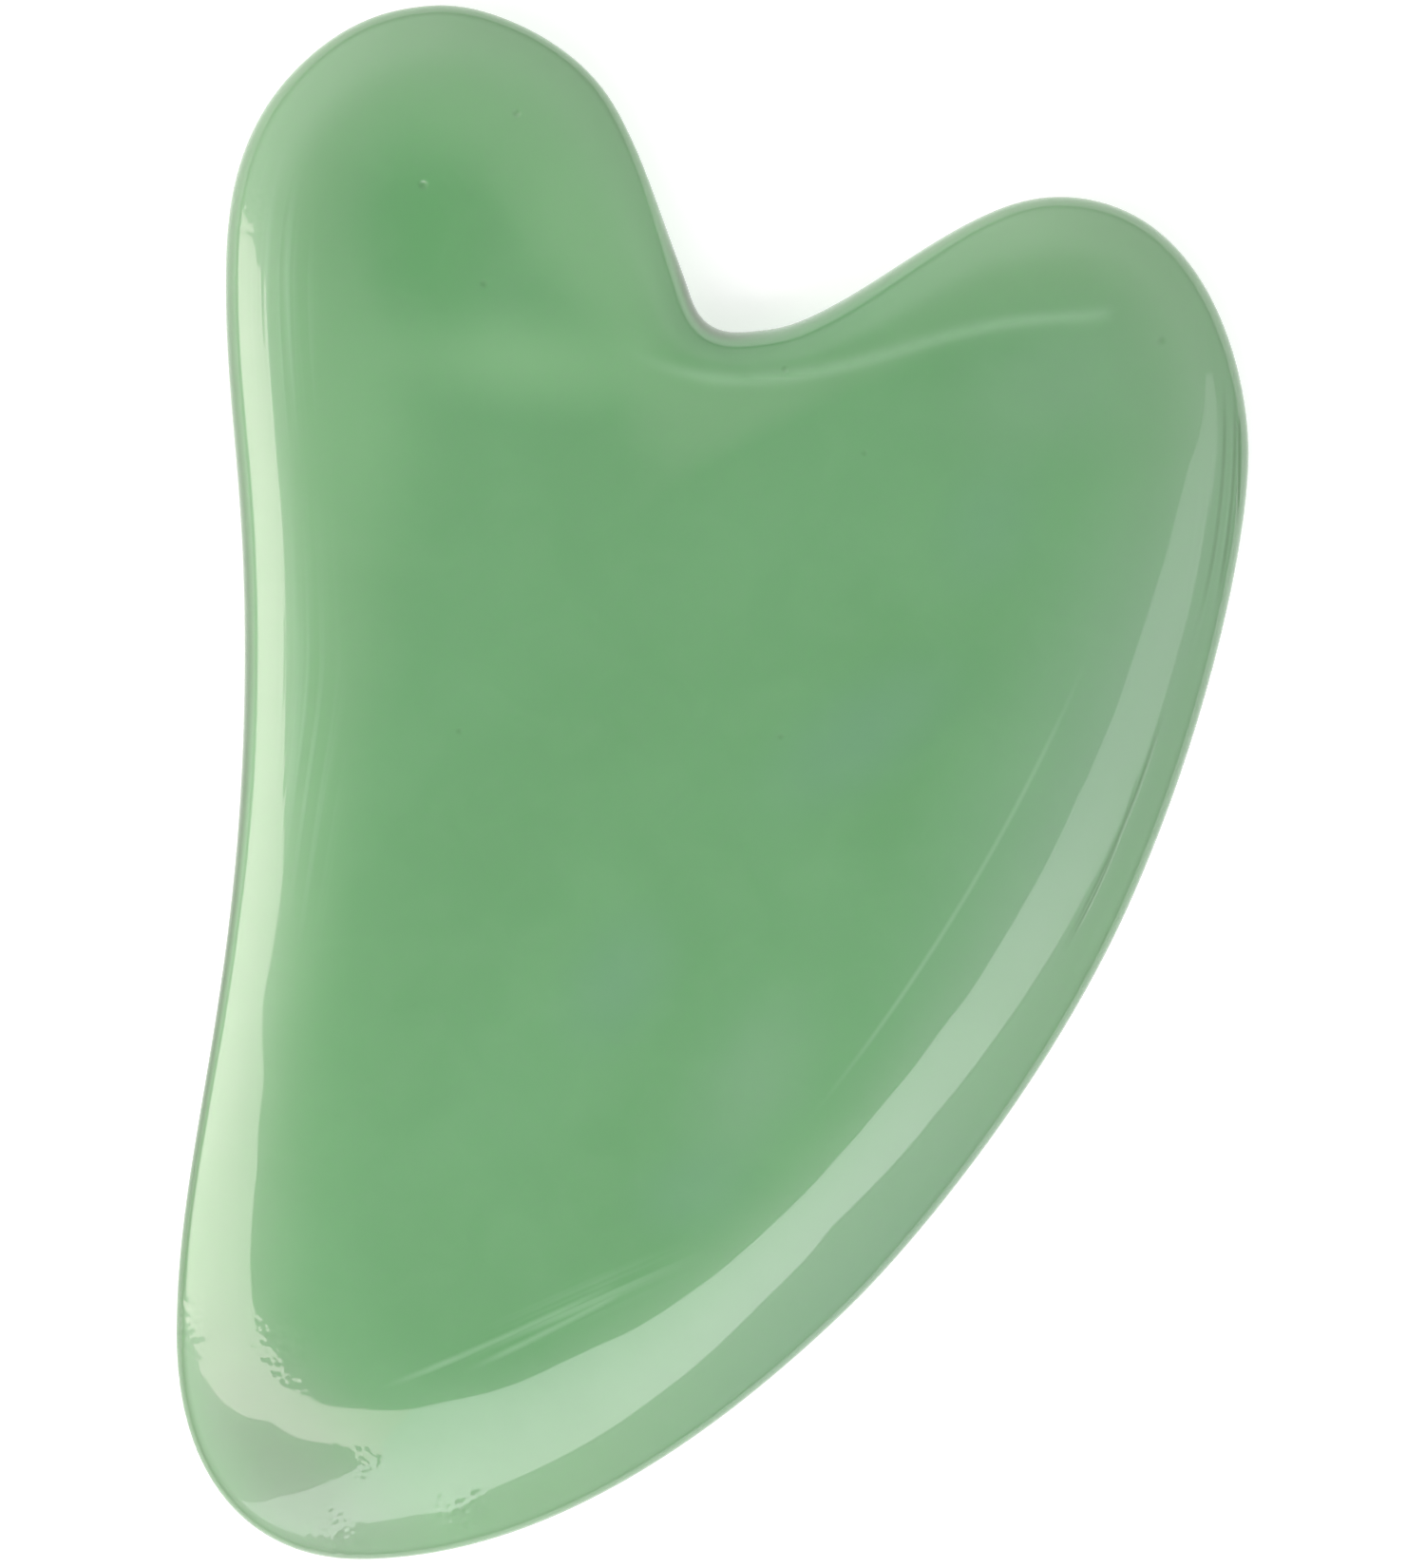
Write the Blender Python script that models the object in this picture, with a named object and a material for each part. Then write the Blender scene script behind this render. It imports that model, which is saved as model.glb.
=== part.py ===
"""Heart-shaped gua sha scraper: one polished slab of green stone, lying on its flat back face.

The slab is lofted between two closed outlines. The girdle is its widest line, half way up the
thickness. The face outline is the border of the flat face, the same on the front and on the back.
The edge between them is round and blunt where the two run close together, as down the straight side
and in the notch. Where the face keeps far inside the girdle, as along the long curved side, the edge
is a thin blade, and its section flattens towards a plain bevel.

Frame: X across the slab, Y along it towards the two lobes, Z through its thickness. The origin is
the middle of the bounding box on the surface that the slab rests on. Outlines run anticlockwise.
"""

import math

import bpy
from mathutils import Vector
from mathutils.geometry import interpolate_bezier

MM = 0.001

# Driving dimensions
THICKNESS = 5.5 * MM
HALF_THICKNESS = THICKNESS / 2
POINT_SPACING = 2.0 * MM  # longest step between two points of the girdle
EDGE_STEPS = 7  # bands of faces from the girdle up to the flat face, and as many down

# Section of the edge: a cubic curve that leaves the girdle upright and arrives level at the face.
# Each pair is the length of its two handles, the first as a share of half the thickness and the
# second as a share of the edge's width. A narrow edge is close to a quarter of an ellipse.
NARROW_EDGE = 5.5 * MM
NARROW_HANDLES = (0.55, 0.55)
WIDE_EDGE = 9.0 * MM
WIDE_HANDLES = (0.6, 0.3)

# Outline anchors in millimetres: x, y, the heading in degrees (0 is +X, 90 is +Y), and how far the
# curve's two handles reach back and ahead along that heading. Anchor n of one outline faces anchor n
# of the other.
GIRDLE = (
    (-14.1, 41.0, 180, 2.2, 2.2),  # crown of the long lobe
    (-21.9, 37.7, 225, 4.0, 5.2),  # its left corner
    (-25.7, 26.2, 270, 3.2, 6.4),  # top of the straight side
    (-24.7, 7.0, 270, 9.0, 18.2),  # waist, the hollow in the straight side
    (-28.3, -29.1, 270, 10.0, 8.1),  # hip, above the tip
    (-18.7, -41.0, 0, 5.3, 9.8),  # tip
    (7.2, -27.7, 44, 9.8, 4.7),  # lower half of the curved blade
    (22.1, -6.2, 66, 10.4, 10.1),  # upper half of the curved blade
    (28.3, 17.4, 90, 4.5, 4.3),  # cheek, the widest point on the right
    (18.2, 30.9, 180, 7.9, 5.4),  # crown of the short lobe
    (2.1, 23.8, 180, 4.8, 1.9),  # floor of the notch
    (-1.3, 26.1, 110, 2.7, 6.2),  # foot of the notch wall
    (-5.0, 35.4, 118, 2.8, 4.3),  # right shoulder of the long lobe
)
FACE = (
    (-15.0, 33.4, 180, 2.2, 1.8),
    (-18.4, 31.8, 228, 1.8, 1.8),
    (-20.0, 27.0, 270, 2.4, 6.0),
    (-19.2, 7.0, 271, 7.0, 11.0),
    (-18.4, -24.0, 273, 10.0, 3.6),
    (-13.6, -30.0, 0, 2.8, 5.0),
    (2.6, -20.2, 42, 8.0, 5.0),
    (14.9, -3.4, 62, 7.0, 7.0),
    (21.2, 16.5, 88, 6.0, 4.5),
    (17.2, 24.4, 188, 2.6, 5.0),
    (2.2, 21.3, 180, 5.0, 2.2),
    (-3.4, 22.5, 158, 2.0, 2.5),
    (-10.0, 29.0, 113, 3.0, 2.2),
)

# Polished green stone, such as aventurine
STONE_COLOUR = (0.17, 0.38, 0.18, 1.0)
STONE_ROUGHNESS = 0.12
STONE_IOR = 1.54


def clear_scene():
    for obj in list(bpy.data.objects):
        bpy.data.objects.remove(obj, do_unlink=True)


def handle(anchor, reach):
    """The point that lies reach millimetres ahead of an anchor along its heading."""
    x, y, heading = anchor[:3]
    angle = math.radians(heading)
    return Vector((x + reach * math.cos(angle), y + reach * math.sin(angle))) * MM


def stretches(anchors):
    """The four Bezier points of each stretch between neighbouring anchors, in metres."""
    for start, end in zip(anchors, anchors[1:] + anchors[:1]):
        yield handle(start, 0), handle(start, start[4]), handle(end, -end[3]), handle(end, 0)


def length_of(points):
    return sum((b - a).length for a, b in zip(points, points[1:]))


def paired_outlines():
    """Both outlines as point lists of equal length, so that point n of one faces point n of the other."""
    girdle, face = [], []
    for outer, inner in zip(stretches(GIRDLE), stretches(FACE)):
        steps = math.ceil(length_of(interpolate_bezier(*outer, 20)) / POINT_SPACING)
        girdle += interpolate_bezier(*outer, steps + 1)[:-1]
        face += interpolate_bezier(*inner, steps + 1)[:-1]
    return girdle, face


def section(width):
    """The edge's section, from girdle to face, as shares of the width inwards and of half the thickness up."""
    share = min(max((width - NARROW_EDGE) / (WIDE_EDGE - NARROW_EDGE), 0.0), 1.0)
    eased = share * share * (3 - 2 * share)
    upright, level = (a + (b - a) * eased for a, b in zip(NARROW_HANDLES, WIDE_HANDLES))
    return interpolate_bezier((0, 0), (0, upright), (1 - level, 1), (1, 1), EDGE_STEPS + 1)


def column(outer, inner):
    """One section of the whole edge, from the back face's border over the girdle to the front face's."""
    steps = section((inner - outer).length)
    back = [(*outer.lerp(inner, inward), HALF_THICKNESS * (1 - up)) for inward, up in reversed(steps)]
    front = [(*outer.lerp(inner, inward), HALF_THICKNESS * (1 + up)) for inward, up in steps]
    return back + front[1:]


def slab_mesh():
    """The closed slab: a band of faces between each two neighbouring sections, and the two flat faces."""
    girdle, face = paired_outlines()
    columns = [column(outer, inner) for outer, inner in zip(girdle, face)]
    height = len(columns[0])
    vertices = [point for points in columns for point in points]
    faces = []
    for n in range(len(columns)):
        here, ahead = n * height, (n + 1) % len(columns) * height
        faces += [(here + k, ahead + k, ahead + k + 1, here + k + 1) for k in range(height - 1)]
    faces.append(tuple(range(0, len(vertices), height))[::-1])
    faces.append(tuple(range(height - 1, len(vertices), height)))
    mesh = bpy.data.meshes.new("scraper_stone")
    mesh.from_pydata(vertices, [], faces)
    mesh.shade_smooth()
    return mesh


def polished_stone():
    material = bpy.data.materials.new("polished_green_stone")
    material.use_nodes = True
    shader = material.node_tree.nodes["Principled BSDF"]
    shader.inputs["Base Color"].default_value = STONE_COLOUR
    shader.inputs["Roughness"].default_value = STONE_ROUGHNESS
    shader.inputs["Metallic"].default_value = 0.0
    shader.inputs["IOR"].default_value = STONE_IOR
    return material


def build_scraper_stone():
    stone = bpy.data.objects.new("scraper_stone", slab_mesh())
    stone.data.materials.append(polished_stone())
    bpy.context.scene.collection.objects.link(stone)


clear_scene()
build_scraper_stone()
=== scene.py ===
"""Looks of the gua sha scraper: one polished slab of green stone on a pale floor, seen from above.

The fine mesh follows the CAD's two outlines. The girdle is the widest line, half way up the
thickness, and the face outline borders the flat face, the same on front and back. X runs across the
stone, Y along it towards the lobes, Z up. Lengths are in millimetres up to the point where something
is handed to Blender.
"""

import math

import bpy
import numpy as np
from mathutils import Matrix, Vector, noise
from mathutils.geometry import interpolate_bezier


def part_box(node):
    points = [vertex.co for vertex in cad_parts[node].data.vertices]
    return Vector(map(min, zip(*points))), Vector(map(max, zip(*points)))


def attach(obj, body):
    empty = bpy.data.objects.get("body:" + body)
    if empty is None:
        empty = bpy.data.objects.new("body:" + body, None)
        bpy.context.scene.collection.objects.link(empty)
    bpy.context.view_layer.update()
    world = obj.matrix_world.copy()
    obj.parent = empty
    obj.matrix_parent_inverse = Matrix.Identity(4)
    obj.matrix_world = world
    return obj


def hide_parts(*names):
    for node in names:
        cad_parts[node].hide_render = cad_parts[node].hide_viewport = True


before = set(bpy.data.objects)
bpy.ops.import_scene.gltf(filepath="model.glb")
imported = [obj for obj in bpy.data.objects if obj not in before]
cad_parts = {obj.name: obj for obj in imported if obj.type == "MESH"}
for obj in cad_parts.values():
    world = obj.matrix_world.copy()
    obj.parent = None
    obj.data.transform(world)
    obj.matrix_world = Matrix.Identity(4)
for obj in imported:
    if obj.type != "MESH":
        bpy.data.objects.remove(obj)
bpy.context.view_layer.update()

MM = 0.001
LOW, HIGH = (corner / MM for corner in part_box("scraper_stone"))
HALF_THICKNESS = (HIGH.z - LOW.z) / 2
GIRDLE_LEVEL = (HIGH.z + LOW.z) / 2

# Outlines, as in the CAD: x, y, the heading in degrees, and how far the curve's two handles reach
# back and ahead along it. Anchor n of one outline faces anchor n of the other.
GIRDLE = (
    (-14.1, 41.0, 180, 2.2, 2.2),  # crown of the long lobe
    (-21.9, 37.7, 225, 4.0, 5.2),  # its left corner
    (-25.7, 26.2, 270, 3.2, 6.4),  # top of the straight side
    (-24.7, 7.0, 270, 9.0, 18.2),  # waist, the hollow in the straight side
    (-28.3, -29.1, 270, 10.0, 8.1),  # hip, above the tip
    (-18.7, -41.0, 0, 5.3, 9.8),  # tip
    (7.2, -27.7, 44, 9.8, 4.7),  # lower half of the curved blade
    (22.1, -6.2, 66, 10.4, 10.1),  # upper half of the curved blade
    (28.3, 17.4, 90, 4.5, 4.3),  # cheek, the widest point on the right
    (18.2, 30.9, 180, 7.9, 5.4),  # crown of the short lobe
    (2.1, 23.8, 180, 4.8, 1.9),  # floor of the notch
    (-1.3, 26.1, 110, 2.7, 6.2),  # foot of the notch wall
    (-5.0, 35.4, 118, 2.8, 4.3),  # right shoulder of the long lobe
)
FACE = (
    (-15.0, 33.4, 180, 2.2, 1.8),
    (-18.4, 31.8, 228, 1.8, 1.8),
    (-20.0, 27.0, 270, 2.4, 6.0),
    (-19.2, 7.0, 271, 7.0, 11.0),
    (-18.4, -24.0, 273, 10.0, 3.6),
    (-13.6, -30.0, 0, 2.8, 5.0),
    (2.6, -20.2, 42, 8.0, 5.0),
    (14.9, -3.4, 62, 7.0, 7.0),
    (21.2, 16.5, 88, 6.0, 4.5),
    (17.2, 24.4, 188, 2.6, 5.0),
    (2.2, 21.3, 180, 5.0, 2.2),
    (-3.4, 22.5, 158, 2.0, 2.5),
    (-10.0, 29.0, 113, 3.0, 2.2),
)
CAD_SPACING = 2.0  # longest step between two points of the girdle
MEASURING_STEPS = 20  # points with which the CAD measures a stretch's length

# Fine mesh
HUB = (-7.5, 11.0)  # a point of the face from which its whole outline is seen
COLUMNS_PER_STEP = 4  # new columns to each step between two points of the CAD's outline
EDGE_RINGS = 32  # from the girdle to the face outline
FACE_RINGS = 44  # from the face outline to the hub
EDGE_CROWDING = 0.75  # how much the edge's rings crowd together at both of its borders
FACE_CROWDING = 1.5  # above 1, the face's rings crowd together at its outline

# Section of the edge, as in the CAD: the two handles of its curve, as shares of half the thickness
# and of the edge's width, for a narrow and for a wide edge
NARROW_EDGE, NARROW_HANDLES = 5.5, (0.55, 0.55)
WIDE_EDGE, WIDE_HANDLES = 9.0, (0.6, 0.3)

# Waves that polishing by hand left: their height, how far apart they are, and the noise's seed
WAVES = (
    (0.05, 11.0, 3.7),
    (0.012, 3.5, 8.1),
)
FULL_WAVES_FROM = 0.6  # share of half the thickness from which the waves have their full height

# The crease that the wheel left where the notch's bevel meets the face, as anchors of a curve from
# right to left: x, y, heading, handle behind, handle ahead
CREASE = (
    (21.4, 24.7, 187, 0.0, 3.0),
    (14.0, 23.9, 192, 3.5, 4.0),
    (1.5, 21.2, 180, 5.0, 2.2),
    (-5.2, 23.3, 145, 2.6, 0.0),
)
CREASE_HEIGHT = 0.075
CREASE_HALF_WIDTH = 0.35
CREASE_RISE, CREASE_FADE = 0.04, 0.72  # shares of its length: full from the first, fading from the second
CREASE_STEPS = 40  # points to each stretch of its curve

# Colours of the stone and of the light and shade painted on it, as linear RGB
DEEP_GREEN = (0.14, 0.376, 0.153, 1)
CLOUD_GREEN = (0.155, 0.398, 0.171, 1)
# Painted light through the thin stone, at the rim and at the tip
PAINTED_RIM_LIGHT = (0.245, 0.46, 0.243, 1)
PAINTED_TIP_LIGHT = (0.25, 0.37, 0.245, 1)
# Painted shade: along the girdle, in the scratches that are cut in, and in the pits
PAINTED_SHADE_GREEN = (0.045, 0.14, 0.03, 1)
CORE_GREEN = (0.124, 0.39, 0.139, 1)
PALE_GREEN = (0.23, 0.495, 0.235, 1)
BLUE_GREY = (0.16, 0.37, 0.205, 1)
PALE_GREY = (0.225, 0.415, 0.25, 1)
# Painted highlight on the crease and on the scratches that stand proud
PAINTED_HIGHLIGHT_GREEN = (0.32, 0.56, 0.34, 1)

# Patches of another colour, some the stone's own and some painted light and shade: x, y, half length, half
# width, heading, strength and colour
PATCHES = (
    (-20.5, 0.0, 36.0, 6.0, 92, 0.3, PALE_GREEN),  # painted light along the straight side, which faces the left lamp
    (-18.6, 19.5, 12.0, 5.5, 95, 0.55, PALE_GREEN),  # painted light again along its upper part
    (20.5, 3.0, 34.0, 8.5, 66, 0.7, PALE_GREY),  # painted light of the right lamp on the upper half of the blade
    (8.0, -26.0, 26.0, 7.0, 47, 0.75, PALE_GREY),  # painted light of the right lamp on the lower half of the blade
    (-22.5, -36.5, 14.5, 7.0, -57, 0.8, PAINTED_TIP_LIGHT),  # painted light through the thin tip
    (-7.2, 30.8, 11.5, 5.6, 118, 0.9, PALE_GREEN),  # painted light through the thin stone right of the long lobe's core
    (-4.0, 28.0, 8.0, 5.0, 115, 0.5, PALE_GREEN),  # painted light through the thin wall of the notch
    (-9.5, 22.2, 11.5, 3.8, -6, 0.75, PALE_GREEN),  # haze between the lobes
    (-13.5, 35.3, 7.5, 5.0, 10, 0.6, PALE_GREEN),  # painted light through the thin crown of the long lobe
    (-14.8, 29.0, 7.8, 4.4, 97, 0.7, CORE_GREEN),  # painted shade in the thick core of the long lobe
    (3.0, 23.0, 8.0, 2.4, 8, 0.7, DEEP_GREEN),  # painted shade on the floor of the notch
    (18.5, 21.0, 10.0, 6.5, 20, 0.5, PALE_GREY),  # painted light on the short lobe
    (8.0, 2.5, 9.0, 4.2, 35, 0.7, BLUE_GREY),  # from here on, veins across the face
    (-5.0, -10.5, 6.0, 4.0, 60, 0.6, BLUE_GREY),
    (14.5, 13.5, 5.5, 4.0, 70, 0.5, BLUE_GREY),
    (2.0, -16.0, 8.0, 4.5, 60, 0.45, PALE_GREY),
    (-1.0, -21.5, 5.0, 3.5, 20, 0.5, BLUE_GREY),
)
NOTCH_SHADE = (4.5, 25.0, 15.0, 7.5, 14)  # the oval round the notch where the painted light of the thin rim is held back, so the rim stays as deep as the rest
RIM_LIGHT_REACH = 10.0  # how far in from the girdle the painted light through the thin rim reaches

# Patterns of noise in the stone: waves per millimetre, detail and distortion. Each range holds the
# values of noise at which a pattern begins and is full.
CLOUDS, CLOUD_RANGE = (0.06, 2.0, 0.4), (0.3, 0.7)
MOTTLE, MOTTLE_RANGE = (0.3, 4.0, 0.8), (0.35, 0.75)
MOTTLE_STRENGTH = 0.1
HAZE, HAZE_RANGE = (0.5, 4.0, 0.0), (0.3, 0.7)  # where the stone is a little rougher
THROUGH = 1000.0  # a unit so long that a pattern runs straight through the stone's thickness

# The painted shade along the girdle, where the edge is steepest: how far in it fades, how far in
# it is full, its strength all round, and the ovals where it is stronger
LINE_REACH, LINE_CORE = 0.75, 0.2
LINE_STRENGTH = 0.2
DARKER_LINE = (
    (-26.5, -2.0, 60.0, 9.0, 90),  # straight side
    (-0.6, 25.0, 7.0, 5.0, 110),  # foot of the notch wall
)

# Gloss of the stone, and of the last polish with wax, a thin and far smoother layer on it
STONE_IOR = 1.54
STONE_ROUGHNESS = (0.29, 0.34)  # least and greatest
WAX_IOR = 1.6
WAX_ROUGHNESS = 0.03

# Light that scatters inside the stone: how much of it, how deep, and the shares of that depth that
# red, green and blue reach
SCATTER = 0.6
SCATTER_DEPTH = 1.2
SCATTER_COLOURS = (0.6, 1.0, 0.6)

# Groups of fine scratches: x, y, half length, half width, heading of the group, pitch of its lines.
# The first kind runs along the face outline, the second kind straight. Their lines carry a painted
# highlight.
ALONG_EDGE_SCRATCHES = (
    (-22.6, 25.0, 10.0, 2.4, 93, 0.4),  # shoulder of the straight side, upper part
    (-21.2, 4.0, 15.0, 2.2, 90, 0.5),  # and lower part
    (26.8, 13.0, 9.0, 2.0, 82, 0.4),  # cheek
    (22.5, -6.5, 10.0, 2.0, 62, 0.6),  # blade
)
STRAIGHT_SCRATCHES = (
    (-7.0, -27.4, 8.0, 1.6, 24, 0.5),  # fan above the tip
)

# Single scratches, each on a shallow arc, pale ones with a painted highlight and dark ones with painted
# shade:
# x, y and heading at its middle, half length, half width, and how far its ends bend back to the left
PALE_SCRATCHES = (
    (13.3, -6.0, 59, 15.0, 0.2, 1.1),  # along the inner border of the blade
    (-11.1, -29.2, 24, 7.5, 0.25, 0.2),  # fan above the tip
    (-8.2, -28.6, 27, 5.5, 0.26, 0.1),
)
DARK_SCRATCHES = (
    (26.75, 14.6, 84, 7.0, 0.17, 0.6),  # cheek
    (27.35, 14.8, 85, 6.2, 0.16, 0.4),
    (27.75, 16.5, 89, 3.6, 0.14, 0.1),
    (21.5, -2.6, 67, 7.6, 0.18, 0.5),  # outer border of the blade's bevel
    (20.8, -4.4, 67, 5.4, 0.15, 0.4),
)
SCRATCH_DEPTH = 0.009
SCRATCH_LENGTH = 40.0  # rough length of a line in a straight group
SCRATCH_DRIFT = 0.03  # how fast the lines along the edge give way to others, per millimetre
SCRATCH_RANGE = (0.42, 0.7)  # values of noise at which a line begins and is full
ARC_CORE = 0.4  # share of a single scratch's length that is at full strength
# Strength of the painted highlight on pale lines and of the painted shade in dark ones
HIGHLIGHT_STRENGTH = 0.45
DARK_STRENGTH = 0.35

# Chatter marks, where the wheel shook: x, y, reach and depth of each group
CHATTER_SPOTS = (
    (-23.0, -30.0, 3.6, 0.03),  # hip, inner side
    (-27.5, -28.5, 2.5, 0.08),  # hip, outer side
    (-17.8, -36.2, 3.0, 0.03),  # above the tip
    (-20.0, -39.6, 2.4, 0.12),  # tip
    (-13.4, -38.3, 2.2, 0.14),  # right of the tip
    (-24.6, 30.5, 2.8, 0.04),  # top of the straight side
)
CHATTER_SPACING = 0.7

# Small pits, with painted shade in them: x, y, radius and depth
PITS = (
    (-10.3, 35.2, 0.3, 0.07),  # long lobe
    (-15.2, 31.4, 0.35, 0.07),
    (-12.0, 26.2, 0.3, 0.04),
    (-13.3, 2.7, 0.25, 0.02),  # face
    (8.0, 17.3, 0.25, 0.02),
    (3.6, 2.4, 0.25, 0.02),
    (23.6, 23.2, 0.35, 0.03),  # short lobe
    (3.8, 21.7, 0.25, 0.03),  # floor of the notch
)
# How much painted shade darkens each pit
PIT_SHADE_STRENGTH = 0.2

# Camera, straight above the stone
LENS = 300.0
SENSOR = 36.0
VIEW_HEIGHT = 82.73  # what the view takes in on the girdle's level
VIEW_CENTRE = (0.0, -0.09)

# Lights: two curved diffusers on a dome round the stone. Each row holds an azimuth, the angles of
# the diffuser's upper and lower edge from straight up, in degrees, and its brightness there.
DOME_RADIUS = 250.0
LEFT_DIFFUSER = (
    (164, 78, 83, 3.0),
    (170, 51, 83, 4.3),
    (177, 45, 82, 4.5),
    (180, 44, 81, 4.3),
    (182, 40.5, 80, 4.0),
    (185, 36.5, 77, 3.9),
    (189, 34, 72, 3.9),
    (193, 33, 63, 3.9),
    (201, 31, 49, 3.9),
    (210, 29.5, 41, 3.8),
    (221, 28, 33, 3.8),
    (239, 23.5, 28.5, 3.7),
    (246, 22.5, 28.5, 3.5),
    (252, 22, 31, 3.3),
)
LEFT_COLOUR = (1.0, 0.86, 0.87)
RIGHT_DIFFUSER = (
    (227, 66, 68, 2.7),
    (235, 44, 66, 2.7),
    (244, 34.5, 63, 2.7),
    (251, 31, 60, 2.9),
    (252, 22, 59, 2.9),
    (260, 21, 47, 3.1),
    (278, 20.5, 42, 3.1),
    (296, 22.5, 38, 3.3),
    (309, 22, 33, 3.2),
    (322, 23, 37, 2.7),
    (342, 25, 46, 1.7),
    (356, 31, 50, 1.55),
    (367, 38, 54, 1.45),
    (379, 54, 60, 1.45),
)
RIGHT_COLOUR = (1.0, 0.96, 1.0)

# The room's glow
LEFT_SIDE = 1.19
RIGHT_SIDE = 0.6
OVERHEAD = 0.3
OVERHEAD_CONE = (15, 45)  # degrees from straight up: dim within the first, bright beyond the second
HORIZON = 0.2
HORIZON_TOP = 0.25  # sine of the elevation up to which the dim horizon reaches

# The floor, which is a light table, and a white wall far round it
FLOOR_WHITE = 0.75
FLOOR_ROUGHNESS = 0.9
FLOOR_GLOW = 0.55
FLOOR_REACH = 4000.0
FLOOR_GAP = 0.02  # between the floor and the stone, so that the two don't touch
WALL_RADIUS, WALL_HEIGHT = 3900.0, 1000.0
WALL_SIDES = 96
WALL_GLOW = 1.0


# ---------------------------------------------------------------- shape of the stone


def smoothstep(low, high, x):
    t = np.clip((x - low) / (high - low), 0.0, 1.0)
    return t * t * (3 - 2 * t)


def handle(anchor, reach):
    """The point that lies this far ahead of an anchor along its heading."""
    x, y, heading = anchor[:3]
    angle = math.radians(heading)
    return Vector((x + reach * math.cos(angle), y + reach * math.sin(angle)))


def stretches(anchors):
    """The four Bezier points of each stretch between two neighbours in a list of anchors."""
    for start, end in zip(anchors, anchors[1:]):
        yield handle(start, 0), handle(start, start[4]), handle(end, -end[3]), handle(end, 0)


def length_of(points):
    return sum((b - a).length for a, b in zip(points, points[1:]))


def paired_outlines():
    """The CAD's points of both outlines, where point n of one faces point n of the other."""
    girdle, face = [], []
    for outer, inner in zip(stretches(GIRDLE + GIRDLE[:1]), stretches(FACE + FACE[:1])):
        steps = math.ceil(length_of(interpolate_bezier(*outer, MEASURING_STEPS)) / CAD_SPACING)
        girdle += interpolate_bezier(*outer, steps + 1)[:-1]
        face += interpolate_bezier(*inner, steps + 1)[:-1]
    return np.array(girdle), np.array(face)


def closed_spline(points):
    """A closed curve through the points with an even flow of curvature (a cubic spline)."""
    following = np.roll(points, -1, axis=0)
    chord = np.linalg.norm(following - points, axis=1)
    previous_chord = np.roll(chord, 1)
    count = len(points)
    here = np.arange(count)
    system = np.zeros((count, count))
    system[here, here] = 2 * (previous_chord + chord)
    system[here, here - 1] = previous_chord
    system[here, (here + 1) % count] = chord
    slope = (following - points) / chord[:, None]
    bend = np.linalg.solve(system, 6 * (slope - np.roll(slope, 1, axis=0)))
    t = (np.arange(COLUMNS_PER_STEP) / COLUMNS_PER_STEP)[None, :, None]
    straight = (1 - t) * points[:, None] + t * following[:, None]
    bow = ((1 - t) ** 3 - (1 - t)) * bend[:, None] + (t**3 - t) * np.roll(bend, -1, axis=0)[:, None]
    return (straight + chord[:, None, None] ** 2 / 6 * bow).reshape(-1, 2)


def edge_rings(girdle, face):
    """The front half of the edge as an array [ring, column, xyz], heights from the girdle's level."""
    width = np.linalg.norm(face - girdle, axis=1)
    share = smoothstep(NARROW_EDGE, WIDE_EDGE, width)
    upright, level = (a + (b - a) * share for a, b in zip(NARROW_HANDLES, WIDE_HANDLES))
    t = np.linspace(0, 1, EDGE_RINGS + 1)[:, None]
    t = t - EDGE_CROWDING * np.sin(2 * np.pi * t) / (2 * np.pi)
    inward = 3 * (1 - t) * t**2 * (1 - level) + t**3
    up = 3 * (1 - t) ** 2 * t * upright + 3 * (1 - t) * t**2 + t**3
    xy = girdle + (face - girdle) * inward[..., None]
    return np.concatenate([xy, HALF_THICKNESS * up[..., None]], axis=2)


def face_rings(face):
    """The flat face as rings that shrink from the face outline, left out here, towards the hub."""
    shrink = 1 - np.linspace(0, 1, FACE_RINGS + 1)[1:-1, None, None] ** FACE_CROWDING
    xy = np.array(HUB) + (face - np.array(HUB)) * shrink
    return np.concatenate([xy, np.full(xy.shape[:2] + (1,), HALF_THICKNESS)], axis=2)


def noise_at(points, spacing, seed):
    """Smooth noise from -1 to 1 at each point."""
    return np.array([noise.noise(Vector(p) / spacing + Vector((seed, 0, 0))) for p in points])


def crease_share(xy):
    """A rounded ridge along the crease, 1 at its top, which fades out towards its left end."""
    line = [point for curve in stretches(CREASE) for point in interpolate_bezier(*curve, CREASE_STEPS)]
    away = np.full(len(xy), np.inf)
    along = np.zeros(len(xy))
    for n, point in enumerate(line):
        distance = np.linalg.norm(xy - point, axis=1)
        nearer = distance < away
        away[nearer] = distance[nearer]
        along[nearer] = n / (len(line) - 1)
    fade = smoothstep(0.0, CREASE_RISE, along) * (1 - smoothstep(CREASE_FADE, 1.0, along))
    return fade * np.exp(-((away / CREASE_HALF_WIDTH) ** 2))


def polish_loss(points):
    """How much polishing took off at each point. The stone is never thicker than the CAD says."""
    return sum(height * (1 + noise_at(points, spacing, seed)) / 2 for height, spacing, seed in WAVES)


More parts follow.
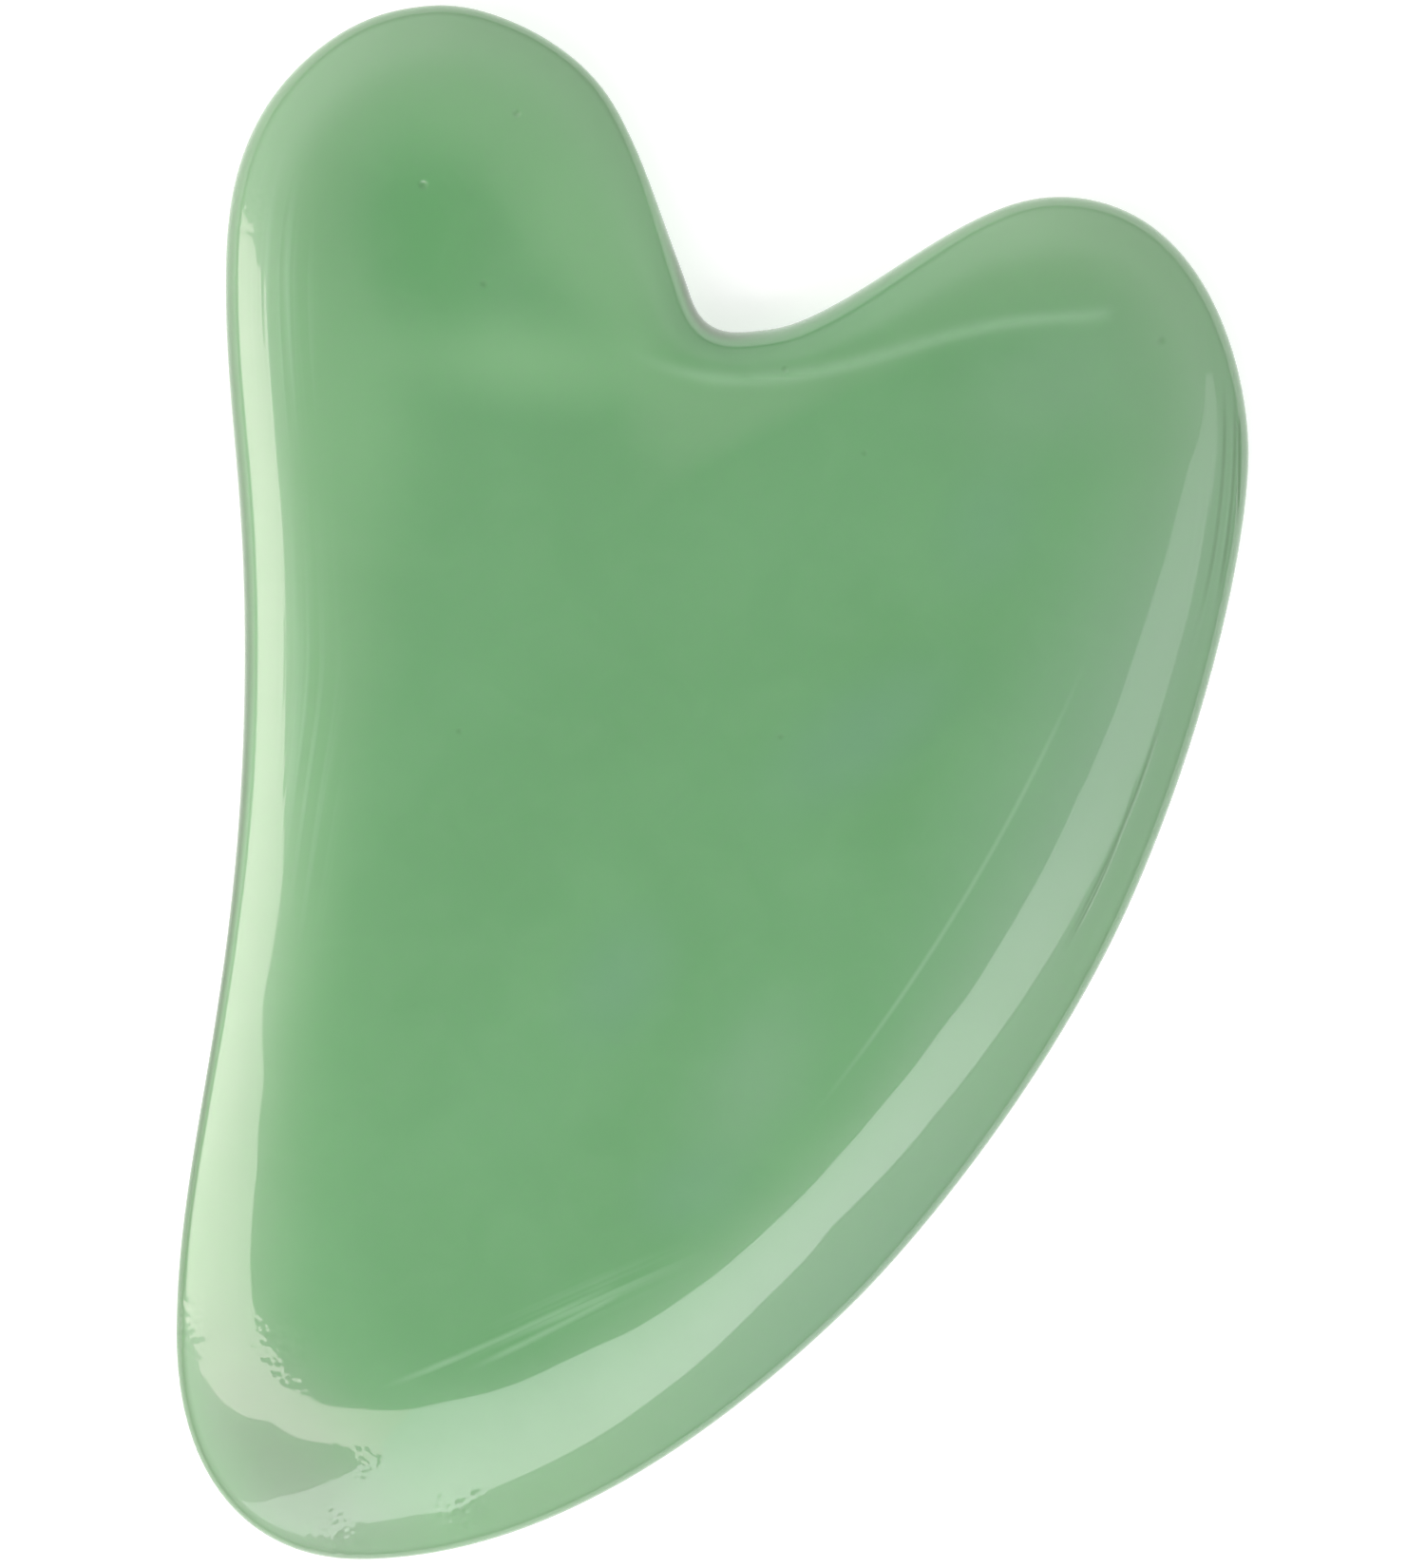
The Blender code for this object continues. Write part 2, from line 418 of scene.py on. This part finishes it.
def stone_points():
    """All points of the stone, in rings from the back's hub round the girdle to the front's hub."""
    girdle, face = (closed_spline(outline) for outline in paired_outlines())
    front = np.concatenate([edge_rings(girdle, face), face_rings(face)])
    back = front[:0:-1] * (1, 1, -1)
    rings = np.concatenate([back, front])
    points = rings.reshape(-1, 3)
    # Polishing takes nothing off the girdle itself
    share_of_height = np.abs(points[:, 2]) / HALF_THICKNESS
    loss = polish_loss(points) * smoothstep(0.0, FULL_WAVES_FROM, share_of_height)
    crease = crease_share(points[:, :2]) * (points[:, 2] > 0)
    points[:, 2] -= np.sign(points[:, 2]) * (loss - CREASE_HEIGHT * crease)
    width = np.linalg.norm(face - girdle, axis=1)
    from_girdle = ((rings[..., :2] - girdle) * (face - girdle)).sum(axis=2) / width
    return rings, {"from_girdle": from_girdle.reshape(-1), "crease": crease}


def stone_mesh():
    rings, attributes = stone_points()
    levels, count = rings.shape[:2]
    faces = []
    for level in range(levels - 1):
        for n in range(count):
            here, beside = level * count + n, level * count + (n + 1) % count
            faces.append((here, beside, beside + count, here + count))
    points = [Vector(p) for p in rings.reshape(-1, 3)]
    for side, start in ((-1, 0), (1, (levels - 1) * count)):
        hub = len(points)
        points.append(Vector((*HUB, points[start].z)))
        for n in range(count):
            pair = (start + n, start + (n + 1) % count)
            faces.append((*pair[::side], hub))
    lift = Vector((0, 0, GIRDLE_LEVEL))
    mesh = bpy.data.meshes.new("polished_stone")
    mesh.from_pydata([(p + lift) * MM for p in points], [], faces)
    mesh.shade_smooth()
    for name, values in attributes.items():
        # The two hubs take the values of the rings beside them
        values = np.append(values, [values[0], values[-1]]).astype(np.float32)
        mesh.attributes.new(name, "FLOAT", "POINT").data.foreach_set("value", values)
    return mesh


# ---------------------------------------------------------------- material of the stone


class Tree:
    """A node tree under construction. Each short method adds a node and gives its output."""

    def __init__(self, owner):
        owner.use_nodes = True
        self.nodes, self.links = owner.node_tree.nodes, owner.node_tree.links

    def feed(self, socket, value):
        if isinstance(value, bpy.types.NodeSocket):
            self.links.new(value, socket)
        else:
            socket.default_value = value

    def add(self, kind, inputs, **settings):
        node = self.nodes.new("ShaderNode" + kind)
        for name, value in settings.items():
            setattr(node, name, value)
        for name, value in inputs.items():
            self.feed(node.inputs[name], value)
        return node

    def math(self, operation, a, b=0.0):
        return self.add("Math", {0: a, 1: b}, operation=operation).outputs[0]

    def ramp(self, value, low, high, to_low=0.0, to_high=1.0):
        inputs = {"Value": value, "From Min": low, "From Max": high, "To Min": to_low, "To Max": to_high}
        return self.add("MapRange", inputs, interpolation_type="SMOOTHSTEP").outputs[0]

    def mix(self, share, a, b):
        return self.add("Mix", {0: share, 6: a, 7: b}, data_type="RGBA").outputs[2]

    def noise(self, place, scale, detail=2.0, distortion=0.0):
        inputs = {"Vector": place, "Scale": scale, "Detail": detail, "Distortion": distortion}
        return self.add("TexNoise", inputs).outputs[0]

    def attribute(self, name):
        return self.add("Attribute", {}, attribute_name=name).outputs["Fac"]

    def turned(self, place, x, y, heading, unit):
        """The place as seen from a frame at x, y that is turned and has its own units."""
        inputs = {
            "Vector": place,
            "Location": (x, y, 0),
            "Rotation": (0, 0, math.radians(heading)),
            "Scale": unit,
        }
        return self.add("Mapping", inputs, vector_type="TEXTURE").outputs[0]

    def spot(self, place, x, y, half_length, half_width, heading=0.0):
        """1 at the middle of an oval, fading to 0 at its border."""
        local = self.turned(place, x, y, heading, (half_length, half_width, THROUGH))
        distance = self.add("VectorMath", {0: local}, operation="LENGTH").outputs["Value"]
        return self.ramp(distance, 1.0, 0.0)

    def arc(self, place, x, y, heading, half_length, half_width, bend):
        """1 along a shallow arc, fading to 0 beside it and towards its ends."""
        local = self.turned(place, x, y, heading, (1, 1, 1))
        along, across, _ = self.add("SeparateXYZ", {0: local}).outputs
        share = self.math("DIVIDE", along, half_length)
        bent = self.math("MULTIPLY", self.math("MULTIPLY", share, share), bend)
        beside = self.math("ABSOLUTE", self.math("SUBTRACT", across, bent))
        ends = self.ramp(self.math("ABSOLUTE", share), 1.0, ARC_CORE)
        return self.math("MULTIPLY", self.ramp(beside, half_width, 0.0), ends)

    def most(self, shares):
        """The greatest of the shares at each point."""
        total = 0.0
        for share in shares:
            total = self.math("MAXIMUM", total, share)
        return total


def lines_within(tree, lined, oval):
    """Long thin streaks of noise, kept to an oval. One unit across them is the pitch of the lines."""
    lines = tree.ramp(tree.noise(lined, 1.0, 1.0), *SCRATCH_RANGE)
    return tree.math("MULTIPLY", lines, oval)


def scratch_groups(tree, place, from_girdle):
    """Each group of fine lines that the polishing wheel left: 1 on a line, 0 beside it."""
    across, along, _ = tree.add("SeparateXYZ", {0: place}).outputs
    drift = tree.math("MULTIPLY", tree.math("ADD", across, along), SCRATCH_DRIFT)
    for *oval, pitch in ALONG_EDGE_SCRATCHES:
        lined = tree.add("CombineXYZ", {0: tree.math("DIVIDE", from_girdle, pitch), 1: drift}).outputs[0]
        yield lines_within(tree, lined, tree.spot(place, *oval))
    for x, y, half_length, half_width, heading, pitch in STRAIGHT_SCRATCHES:
        lined = tree.turned(place, x, y, heading, (SCRATCH_LENGTH, pitch, THROUGH))
        yield lines_within(tree, lined, tree.spot(place, x, y, half_length, half_width, heading))


def green_with_painted_light_and_shade(tree, place, from_girdle):
    """The stone's colour: its own clouds and mottle, painted light through the thin rim, and patches of
    its own colour and of painted light and shade.
    """
    clouds = tree.ramp(tree.noise(place, *CLOUDS), *CLOUD_RANGE)
    colour = tree.mix(clouds, DEEP_GREEN, CLOUD_GREEN)
    # Painted light through the thin rim: paler towards the girdle, held back round the notch
    outside_notch = tree.math("SUBTRACT", 1.0, tree.spot(place, *NOTCH_SHADE))
    rim = tree.math("MULTIPLY", tree.ramp(from_girdle, RIM_LIGHT_REACH, 0.0), outside_notch)
    colour = tree.mix(rim, colour, PAINTED_RIM_LIGHT)
    # Patches of the stone's own colour and of painted light and shade
    for *oval, strength, patch in PATCHES:
        colour = tree.mix(tree.math("MULTIPLY", tree.spot(place, *oval), strength), colour, patch)
    mottle = tree.ramp(tree.noise(place, *MOTTLE), *MOTTLE_RANGE, 0.0, MOTTLE_STRENGTH)
    return tree.mix(mottle, colour, PALE_GREEN)


# How much painted shade lies along the girdle at each point
def painted_girdle_shade(tree, place, from_girdle):
    strength = tree.most([LINE_STRENGTH, *(tree.spot(place, *oval) for oval in DARKER_LINE)])
    return tree.math("MULTIPLY", tree.ramp(from_girdle, LINE_REACH, LINE_CORE), strength)


def marked(tree, colour, share, strength, mark):
    """The colour where a mark lies on it: a painted highlight on a proud line, painted shade in a cut line
    or a pit.
    """
    return tree.mix(tree.math("MULTIPLY", share, strength), colour, mark)


def surface_height(tree, place, pale, dark, pits):
    """The small relief of the surface, in millimetres: pale lines stand proud and dark ones are cut in."""
    height = tree.math("MULTIPLY", tree.math("SUBTRACT", pale, dark), SCRATCH_DEPTH)
    for pit, (*_, depth) in zip(pits, PITS):
        height = tree.math("SUBTRACT", height, tree.math("MULTIPLY", pit, depth))
    ripples = tree.noise(place, 1 / CHATTER_SPACING, 1.0)
    for x, y, reach, depth in CHATTER_SPOTS:
        chatter = tree.math("MULTIPLY", tree.spot(place, x, y, reach, reach), depth)
        height = tree.math("ADD", height, tree.math("MULTIPLY", chatter, ripples))
    return height


def stone_material():
    material = bpy.data.materials.new("polished_green_stone")
    tree = Tree(material)
    shader = tree.nodes["Principled BSDF"]
    shader.inputs["IOR"].default_value = STONE_IOR
    shader.inputs["Coat Weight"].default_value = 1.0
    shader.inputs["Coat IOR"].default_value = WAX_IOR
    shader.inputs["Coat Roughness"].default_value = WAX_ROUGHNESS
    shader.inputs["Subsurface Weight"].default_value = SCATTER
    shader.inputs["Subsurface Radius"].default_value = SCATTER_COLOURS
    shader.inputs["Subsurface Scale"].default_value = SCATTER_DEPTH * MM

    object_place = tree.add("TexCoord", {}).outputs["Object"]
    place = tree.add("VectorMath", {0: object_place, "Scale": 1 / MM}, operation="SCALE").outputs[0]
    from_girdle = tree.attribute("from_girdle")
    pale_arcs = [tree.arc(place, *arc) for arc in PALE_SCRATCHES]
    pale = tree.most([*scratch_groups(tree, place, from_girdle), *pale_arcs])
    dark = tree.most(tree.arc(place, *arc) for arc in DARK_SCRATCHES)
    pits = [tree.spot(place, x, y, radius, radius) for x, y, radius, _ in PITS]

    colour = green_with_painted_light_and_shade(tree, place, from_girdle)
    # Painted shade along the girdle, where the edge is steepest
    colour = tree.mix(painted_girdle_shade(tree, place, from_girdle), colour, PAINTED_SHADE_GREEN)
    # Painted highlight on the crease and on the scratches that stand proud; their relief is real
    colour = marked(tree, colour, tree.most([pale, tree.attribute("crease")]), HIGHLIGHT_STRENGTH, PAINTED_HIGHLIGHT_GREEN)
    # Painted shade in the scratches that are cut in; the grooves themselves are real
    colour = marked(tree, colour, dark, DARK_STRENGTH, PAINTED_SHADE_GREEN)
    # Painted shade in the pits; the hollows themselves are real
    colour = marked(tree, colour, tree.most(pits), PIT_SHADE_STRENGTH, PAINTED_SHADE_GREEN)
    tree.feed(shader.inputs["Base Color"], colour)

    height = surface_height(tree, place, pale, dark, pits)
    bump = tree.add("Bump", {"Height": height, "Distance": MM, "Strength": 1.0}).outputs[0]
    tree.feed(shader.inputs["Normal"], bump)
    tree.feed(shader.inputs["Coat Normal"], bump)

    roughness = tree.ramp(tree.noise(place, *HAZE), *HAZE_RANGE, *STONE_ROUGHNESS)
    tree.feed(shader.inputs["Roughness"], roughness)
    return material


# ---------------------------------------------------------------- stage


def link(obj):
    bpy.context.scene.collection.objects.link(obj)
    return obj


def dome_point(azimuth, polar):
    """The point of the dome at this azimuth and this angle from straight up, in degrees."""
    a, p = math.radians(azimuth), math.radians(polar)
    direction = Vector((math.sin(p) * math.cos(a), math.sin(p) * math.sin(a), math.cos(p)))
    return direction * DOME_RADIUS * MM


def diffuser(name, rows, colour):
    """A curved sheet of glowing cloth, which the camera doesn't see."""
    azimuths = np.arange(rows[0][0], rows[-1][0] + 1)
    stations = np.array(rows, float).T
    upper, lower, brightness = (np.interp(azimuths, stations[0], column) for column in stations[1:])
    count = len(azimuths)
    points = [dome_point(*pair) for pair in zip(azimuths, upper)]
    points += [dome_point(*pair) for pair in zip(azimuths, lower)]
    mesh = bpy.data.meshes.new(name)
    mesh.from_pydata(points, [], [(n, n + 1, n + 1 + count, n + count) for n in range(count - 1)])
    glow = mesh.attributes.new("brightness", "FLOAT", "POINT")
    glow.data.foreach_set("value", np.tile(brightness, 2).astype(np.float32))
    material = bpy.data.materials.new(name)
    tree = Tree(material)
    emission = tree.add("Emission", {"Color": (*colour, 1), "Strength": tree.attribute("brightness")})
    tree.links.new(emission.outputs[0], tree.nodes["Material Output"].inputs["Surface"])
    mesh.materials.append(material)
    sheet = link(bpy.data.objects.new(name, mesh))
    sheet.visible_camera = False


def floor():
    """A white floor that glows like a light table."""
    material = bpy.data.materials.new("pale_floor")
    shader = Tree(material).nodes["Principled BSDF"]
    shader.inputs["Base Color"].default_value = (FLOOR_WHITE, FLOOR_WHITE, FLOOR_WHITE, 1)
    shader.inputs["Roughness"].default_value = FLOOR_ROUGHNESS
    shader.inputs["Specular IOR Level"].default_value = 0.0
    shader.inputs["Emission Color"].default_value = (1, 1, 1, 1)
    shader.inputs["Emission Strength"].default_value = FLOOR_GLOW
    reach = FLOOR_REACH * MM
    corners = [(-reach, -reach, 0), (reach, -reach, 0), (reach, reach, 0), (-reach, reach, 0)]
    mesh = bpy.data.meshes.new("floor")
    mesh.from_pydata(corners, [], [(0, 1, 2, 3)])
    mesh.materials.append(material)
    plane = link(bpy.data.objects.new("floor", mesh))
    plane.location.z = (LOW.z - FLOOR_GAP) * MM


def wall():
    """A round white wall that only the camera sees, so that low views have no horizon."""
    material = bpy.data.materials.new("white_wall")
    tree = Tree(material)
    emission = tree.add("Emission", {"Color": (1, 1, 1, 1), "Strength": WALL_GLOW})
    tree.links.new(emission.outputs[0], tree.nodes["Material Output"].inputs["Surface"])
    turns = [2 * math.pi * n / WALL_SIDES for n in range(WALL_SIDES)]
    foot = [Vector((math.cos(turn), math.sin(turn), 0)) * WALL_RADIUS * MM for turn in turns]
    top = [point + Vector((0, 0, WALL_HEIGHT)) * MM for point in foot]
    pairs = [(n, (n + 1) % WALL_SIDES) for n in range(WALL_SIDES)]
    mesh = bpy.data.meshes.new("wall")
    mesh.from_pydata(foot + top, [], [(a, b, b + WALL_SIDES, a + WALL_SIDES) for a, b in pairs])
    mesh.materials.append(material)
    panel = link(bpy.data.objects.new("wall", mesh))
    panel.location.z = LOW.z * MM
    panel.visible_diffuse = False
    panel.visible_glossy = False
    panel.visible_transmission = False
    panel.visible_shadow = False


def room_light():
    """A soft glow from the sides, strongest on the left, and dim overhead and at the horizon."""
    world = bpy.data.worlds.new("studio")
    tree = Tree(world)
    direction = tree.add("TexCoord", {}).outputs["Generated"]
    across, _, height = tree.add("SeparateXYZ", {0: direction}).outputs
    side = tree.ramp(across, -1.0, 1.0, LEFT_SIDE, RIGHT_SIDE)
    above_horizon = tree.ramp(height, 0.0, HORIZON_TOP, HORIZON, side)
    dim, bright = (math.cos(math.radians(angle)) for angle in OVERHEAD_CONE)
    strength = tree.ramp(height, dim, bright, OVERHEAD, above_horizon)
    tree.feed(tree.nodes["Background"].inputs["Strength"], strength)
    tree.nodes["Background"].inputs["Color"].default_value = (1, 1, 1, 1)
    bpy.context.scene.world = world


def camera():
    data = bpy.data.cameras.new("camera")
    data.lens, data.sensor_width = LENS, SENSOR
    distance = VIEW_HEIGHT * LENS / SENSOR
    obj = link(bpy.data.objects.new("camera", data))
    obj.location = Vector((*VIEW_CENTRE, GIRDLE_LEVEL + distance)) * MM
    bpy.context.scene.camera = obj


camera()
room_light()
floor()
wall()
diffuser("left_diffuser", LEFT_DIFFUSER, LEFT_COLOUR)
diffuser("right_diffuser", RIGHT_DIFFUSER, RIGHT_COLOUR)

stone = link(bpy.data.objects.new("polished_stone", stone_mesh()))
stone.data.materials.append(stone_material())
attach(stone, "root")
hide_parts("scraper_stone")

bpy.context.scene.view_settings.view_transform = "Standard"
